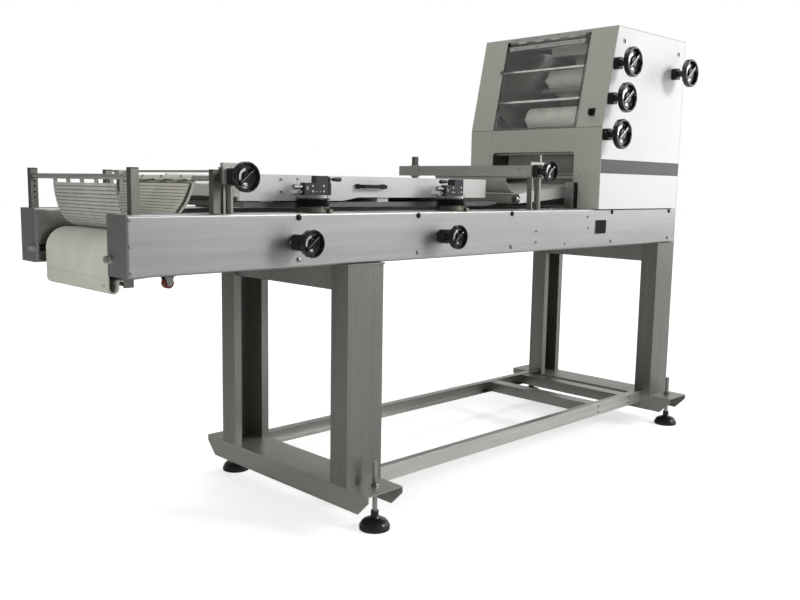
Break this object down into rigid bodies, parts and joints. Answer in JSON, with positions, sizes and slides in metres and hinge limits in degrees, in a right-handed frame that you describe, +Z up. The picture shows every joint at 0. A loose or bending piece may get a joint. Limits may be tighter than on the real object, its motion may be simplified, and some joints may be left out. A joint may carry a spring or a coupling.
{
  "type": "baguette moulder",
  "caption": "Bakery dough moulder: sheeting head with a hinged window, belt table with curling mat, height-adjustable pressure board, outfeed sling, handwheels and levelling feet.",
  "frame": {"origin": "on the floor, below the middle of the machine's box", "axes": "+X along the machine from the outfeed end to the head, +Y from the working side to the rear, +Z up"},
  "size_m": [2.798, 0.908, 1.768],
  "materials": {
    "stainless": "satin",
    "roller_steel": "satin",
    "taupe_paint": "satin",
    "white_paint": "gloss",
    "black_plastic": "satin",
    "gloss_black": "gloss",
    "grey_alloy": "matt",
    "white_plastic": "satin",
    "grey_plastic": "matt",
    "cream_belt": "matt",
    "cream_plastic": "satin",
    "red_rubber": "matt",
    "bellows_rubber": "matt",
    "grey_mat": "matt",
    "clear": "clear"
  },
  "bodies": {
    "machine": {"base_channels": "stainless", "legs_left": "stainless", "legs_right": "stainless", "frame_rails": "stainless", "beam_front": "stainless", "beam_rear": "stainless", "slider_bed": "stainless", "conveyor_belt": "cream_belt", "fasteners": "stainless", "castor_bracket": "stainless", "sling_posts": "stainless", "sling_bars": "stainless", "sling_mat": "cream_belt", "sling_canvas": "cream_belt", "crossbar_columns": "stainless", "curling_mat": "grey_mat", "inner_mat": "grey_mat", "lift_bases": "stainless", "lift_bellows": "bellows_rubber", "indicator_housings": "black_plastic", "head_side_front": "white_paint", "head_side_rear": "white_paint", "head_front": "taupe_paint", "head_cover": "taupe_paint", "head_cheeks": "stainless", "head_bars": "stainless", "discharge_frame": "stainless", "discharge_belt": "cream_belt"},
    "foot_fl": {"foot_front_left": "black_plastic"},
    "foot_rl": {"foot_rear_left": "black_plastic"},
    "foot_fr": {"foot_front_right": "black_plastic"},
    "foot_rr": {"foot_rear_right": "black_plastic"},
    "nose": {"nose_roller": "roller_steel"},
    "drive": {"drive_roller": "roller_steel"},
    "castor": {"castor_wheel": "red_rubber"},
    "near_bar": {"crossbar_near": "stainless"},
    "near_wheel": {"wheel_crossbar_near": "gloss_black"},
    "far_bar": {"crossbar_far": "stainless"},
    "far_wheel": {"wheel_crossbar_far": "gloss_black"},
    "board": {"pressure_board": "white_plastic", "press_plate": "grey_plastic", "board_fittings": "grey_alloy"},
    "lever_left": {"clamp_lever_left": "black_plastic"},
    "lever_right": {"clamp_lever_right": "black_plastic"},
    "plunger_l": {"plunger_left": "stainless"},
    "plunger_r": {"plunger_right": "stainless"},
    "lift_wheel_l": {"wheel_lift_left": "gloss_black"},
    "lift_wheel_r": {"wheel_lift_right": "gloss_black"},
    "window": {"window_pane": "clear"},
    "upper_front": {"roller_upper_front": "cream_plastic"},
    "upper_rear": {"roller_upper_rear": "cream_plastic"},
    "lower_front": {"roller_lower_front": "cream_plastic"},
    "lower_rear": {"roller_lower_rear": "cream_plastic"},
    "discharge_low": {"discharge_nose": "roller_steel"},
    "discharge_high": {"discharge_drive": "roller_steel"},
    "head_wheel_1": {"wheel_head_1": "gloss_black"},
    "head_wheel_2": {"wheel_head_2": "gloss_black"},
    "head_wheel_3": {"wheel_head_3": "gloss_black"},
    "head_wheel_4": {"wheel_head_4": "gloss_black"},
    "switch": {"main_switch": "black_plastic"}
  },
  "joints": [
    {"name": "foot_turn_fl", "type": "hinge", "parent": "machine", "child": "foot_fl", "pos_m": [-0.58, -0.394, 0], "axis": [0, 0, 1], "range_deg": [-360, 360]},
    {"name": "foot_turn_rl", "type": "hinge", "parent": "machine", "child": "foot_rl", "pos_m": [-0.58, 0.394, 0], "axis": [0, 0, 1], "range_deg": [-360, 360]},
    {"name": "foot_turn_fr", "type": "hinge", "parent": "machine", "child": "foot_fr", "pos_m": [1.304, -0.394, 0], "axis": [0, 0, 1], "range_deg": [-360, 360]},
    {"name": "foot_turn_rr", "type": "hinge", "parent": "machine", "child": "foot_rr", "pos_m": [1.304, 0.394, 0], "axis": [0, 0, 1], "range_deg": [-360, 360]},
    {"name": "nose_spin", "type": "hinge", "parent": "machine", "child": "nose", "pos_m": [-1.304, 0, 0.8987], "axis": [0, 1, 0], "continuous": true},
    {"name": "drive_spin", "type": "hinge", "parent": "machine", "child": "drive", "pos_m": [1.215, 0, 0.9167], "axis": [0, 1, 0], "continuous": true},
    {"name": "castor_spin", "type": "hinge", "parent": "machine", "child": "castor", "pos_m": [-1.253, -0.3, 0.834], "axis": [0, 1, 0], "continuous": true},
    {"name": "near_bar_lift", "type": "slide", "parent": "machine", "child": "near_bar", "axis": [0, 0, 1], "range_m": [-0.02, 0]},
    {"name": "far_bar_lift", "type": "slide", "parent": "machine", "child": "far_bar", "axis": [0, 0, 1], "range_m": [-0.02, 0.02], "deforming": ["curling_mat"]},
    {"name": "near_wheel_turn", "type": "hinge", "parent": "near_bar", "child": "near_wheel", "pos_m": [-1.071, -0.355, 1.115], "axis": [0, 1, 0], "range_deg": [-120, 120]},
    {"name": "far_wheel_turn", "type": "hinge", "parent": "far_bar", "child": "far_wheel", "pos_m": [0.295, -0.355, 1.162], "axis": [0, 1, 0], "range_deg": [-120, 120]},
    {"name": "board_lift", "type": "slide", "parent": "machine", "child": "board", "axis": [0, 0, 1], "range_m": [-0.024, 0.012], "deforming": ["lift_bellows"]},
    {"name": "lift_wheel_turn_l", "type": "hinge", "parent": "machine", "child": "lift_wheel_l", "pos_m": [-0.853, -0.364, 0.93], "axis": [0, 1, 0], "range_deg": [-866, 434]},
    {"name": "lift_wheel_turn_r", "type": "hinge", "parent": "machine", "child": "lift_wheel_r", "pos_m": [-0.226, -0.364, 0.93], "axis": [0, 1, 0], "range_deg": [-866, 434]},
    {"name": "lever_turn_left", "type": "hinge", "parent": "board", "child": "lever_left", "pos_m": [-0.689, -0.281, 1.104], "axis": [0, 0, 1], "range_deg": [-60, 0]},
    {"name": "plunger_pull_left", "type": "slide", "parent": "board", "child": "plunger_l", "axis": [-1, 0, 0], "range_m": [0, 0.008], "stiffness_N_per_m": 400, "springref_m": -0.004},
    {"name": "lever_turn_right", "type": "hinge", "parent": "board", "child": "lever_right", "pos_m": [-0.134, -0.281, 1.104], "axis": [0, 0, 1], "range_deg": [0, 60]},
    {"name": "plunger_pull_right", "type": "slide", "parent": "board", "child": "plunger_r", "axis": [-1, 0, 0], "range_m": [0, 0.008], "stiffness_N_per_m": 400, "springref_m": -0.004},
    {"name": "window_lift", "type": "hinge", "parent": "machine", "child": "window", "pos_m": [0.79248, 0, 1.74303], "axis": [0, 1, 0], "range_deg": [0, 95]},
    {"name": "upper_front_spin", "type": "hinge", "parent": "machine", "child": "upper_front", "pos_m": [1.115, 0, 1.612], "axis": [0, 1, 0], "continuous": true},
    {"name": "upper_rear_spin", "type": "hinge", "parent": "machine", "child": "upper_rear", "pos_m": [1.20506, 0, 1.56411], "axis": [0, 1, 0], "continuous": true},
    {"name": "lower_front_spin", "type": "hinge", "parent": "machine", "child": "lower_front", "pos_m": [0.965, 0, 1.418], "axis": [0, 1, 0], "continuous": true},
    {"name": "lower_rear_spin", "type": "hinge", "parent": "machine", "child": "lower_rear", "pos_m": [1.05771, 0, 1.36871], "axis": [0, 1, 0], "continuous": true},
    {"name": "discharge_low_spin", "type": "hinge", "parent": "machine", "child": "discharge_low", "pos_m": [0.351, 0, 1.053], "axis": [0, 1, 0], "continuous": true},
    {"name": "discharge_high_spin", "type": "hinge", "parent": "machine", "child": "discharge_high", "pos_m": [1.03722, 0, 1.12512], "axis": [0, 1, 0], "continuous": true},
    {"name": "head_wheel_turn_1", "type": "hinge", "parent": "machine", "child": "head_wheel_1", "pos_m": [0.785, -0.352, 1.612], "axis": [0, 1, 0], "range_deg": [-720, 720]},
    {"name": "head_wheel_turn_2", "type": "hinge", "parent": "machine", "child": "head_wheel_2", "pos_m": [0.754, -0.352, 1.468], "axis": [0, 1, 0], "range_deg": [-720, 720]},
    {"name": "head_wheel_turn_3", "type": "hinge", "parent": "machine", "child": "head_wheel_3", "pos_m": [0.729, -0.352, 1.321], "axis": [0, 1, 0], "range_deg": [-720, 720]},
    {"name": "head_wheel_turn_4", "type": "hinge", "parent": "machine", "child": "head_wheel_4", "pos_m": [1.267, -0.352, 1.615], "axis": [0, 1, 0], "range_deg": [-720, 720]},
    {"name": "switch_turn", "type": "hinge", "parent": "machine", "child": "switch", "pos_m": [0.72185, -0.291, 1.41161], "axis": [-0.9768, 0, 0.2142], "range_deg": [0, 90]}
  ],
  "couplings": [
    {"joint": "drive_spin", "follows": "nose_spin", "ratio": 1.4286},
    {"joint": "near_wheel_turn", "follows": "near_bar_lift", "rad_per_m": 100},
    {"joint": "far_wheel_turn", "follows": "far_bar_lift", "rad_per_m": 100},
    {"joint": "lift_wheel_turn_l", "follows": "board_lift", "rad_per_m": 628.32},
    {"joint": "lift_wheel_turn_r", "follows": "board_lift", "rad_per_m": 628.32},
    {"joint": "lower_rear_spin", "follows": "lower_front_spin", "ratio": -1},
    {"joint": "upper_front_spin", "follows": "lower_front_spin", "ratio": 0.6},
    {"joint": "upper_rear_spin", "follows": "lower_front_spin", "ratio": -0.6},
    {"joint": "discharge_high_spin", "follows": "discharge_low_spin", "ratio": 1}
  ]
}
